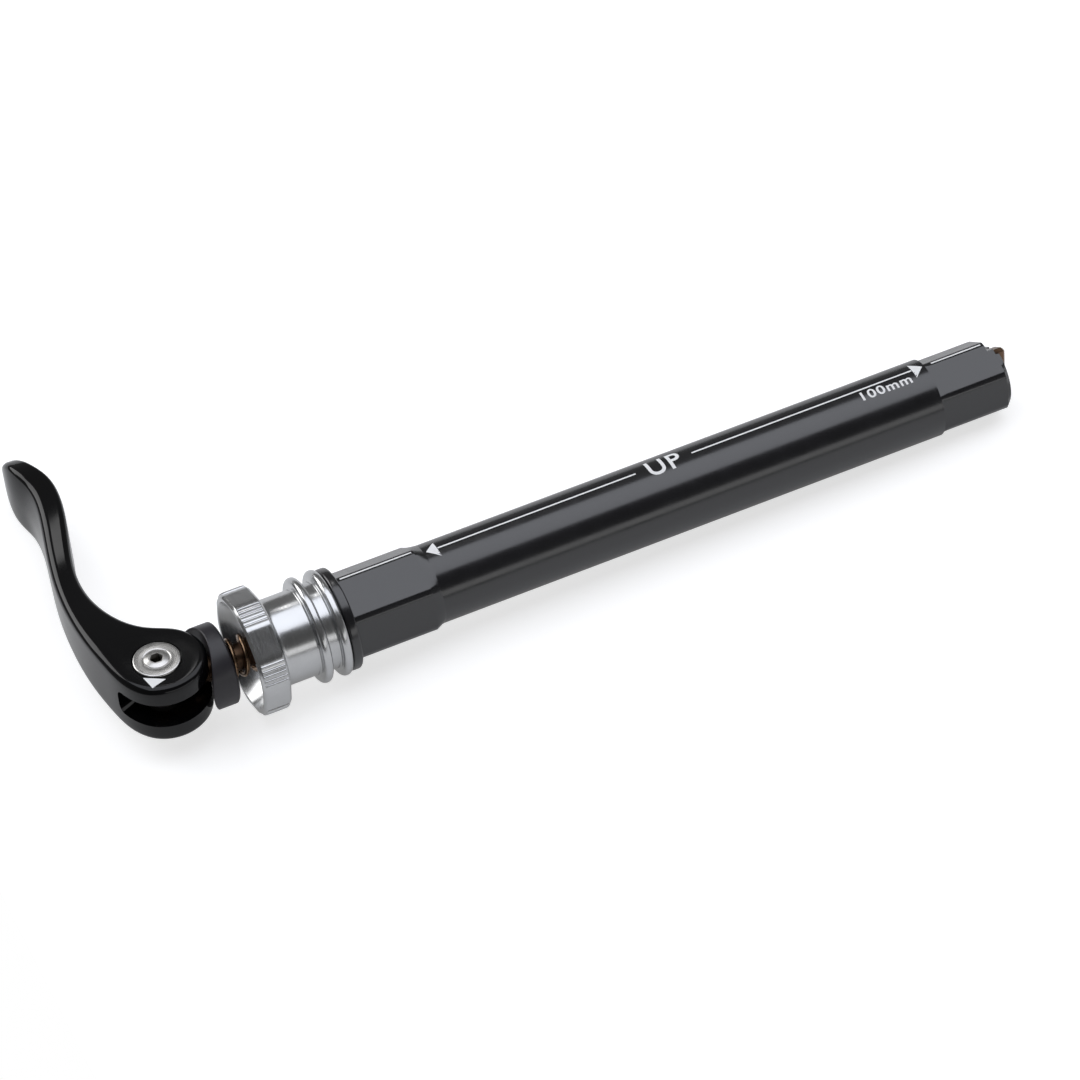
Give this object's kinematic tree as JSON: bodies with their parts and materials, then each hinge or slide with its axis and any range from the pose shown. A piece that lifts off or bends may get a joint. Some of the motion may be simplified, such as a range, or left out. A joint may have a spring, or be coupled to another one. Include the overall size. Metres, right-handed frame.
{
  "type": "bicycle axle",
  "caption": "Quick-release front thru-axle: black hex-ended tube with a hub journal, silver tension adjuster with thumb wheel, and a spring-loaded skewer with a cam lever.",
  "frame": {"origin": "middle of the hub journal, on the axle's axis", "axes": "+X along the axle from the lever to the far end, +Z along the lever's pivot axis, +Y the way the closed lever points"},
  "size_m": [0.1803, 0.079, 0.0234],
  "materials": {
    "black_anodised": "black anodised, satin",
    "silver_aluminium": "polished satin",
    "lever_black": "black anodised, gloss",
    "washer_plastic": "satin",
    "guide_plastic": "matte",
    "bronze_steel": "bronze-coloured coating",
    "bronze_spring": "bronze-coloured coating",
    "stainless": "satin",
    "bush_steel": "satin"
  },
  "bodies": {
    "axle": {"axle_tube": "black_anodised", "rod_guide_bush": "guide_plastic"},
    "adjuster_carrier": {"spring_seat_washer": "stainless", "return_spring": "bronze_spring"},
    "adjuster": {"tension_adjuster": "silver_aluminium"},
    "plunger": {"skewer_rod": "bronze_steel", "t_bar": "bronze_steel"},
    "cam_follower": {"cam_washer": "washer_plastic"},
    "lever": {"cam_lever": "lever_black", "pivot_bolt": "stainless", "pivot_nut": "stainless", "upper_pivot_bush": "bush_steel", "lower_pivot_bush": "bush_steel"}
  },
  "joints": [
    {"name": "adjuster_travel", "type": "slide", "parent": "axle", "child": "adjuster_carrier", "axis": [-1, 0, 0], "range_m": [0, 0.002]},
    {"name": "adjuster_turn", "type": "hinge", "parent": "adjuster_carrier", "child": "adjuster", "pos_m": [-0.08, 0, 0], "axis": [-1, 0, 0], "range_deg": [0, 720.5]},
    {"name": "plunger_push", "type": "slide", "parent": "axle", "child": "plunger", "axis": [1, 0, 0], "range_m": [0, 0.0045], "stiffness_N_per_m": 1500, "springref_m": -0.004, "deforming": ["return_spring"]},
    {"name": "lever_swing", "type": "hinge", "parent": "plunger", "child": "lever", "pos_m": [-0.10365, 0, 0], "axis": [0, 0, 1], "range_deg": [0, 140]},
    {"name": "cam_follow", "type": "slide", "parent": "plunger", "child": "cam_follower", "axis": [-1, 0, 0], "range_m": [0, 0.00151]}
  ],
  "couplings": [
    {"joint": "adjuster_turn", "follows": "adjuster_travel", "rad_per_m": 6283.2},
    {"joint": "cam_follow", "follows": "lever_swing", "m_per_rad": 0.00061388}
  ]
}
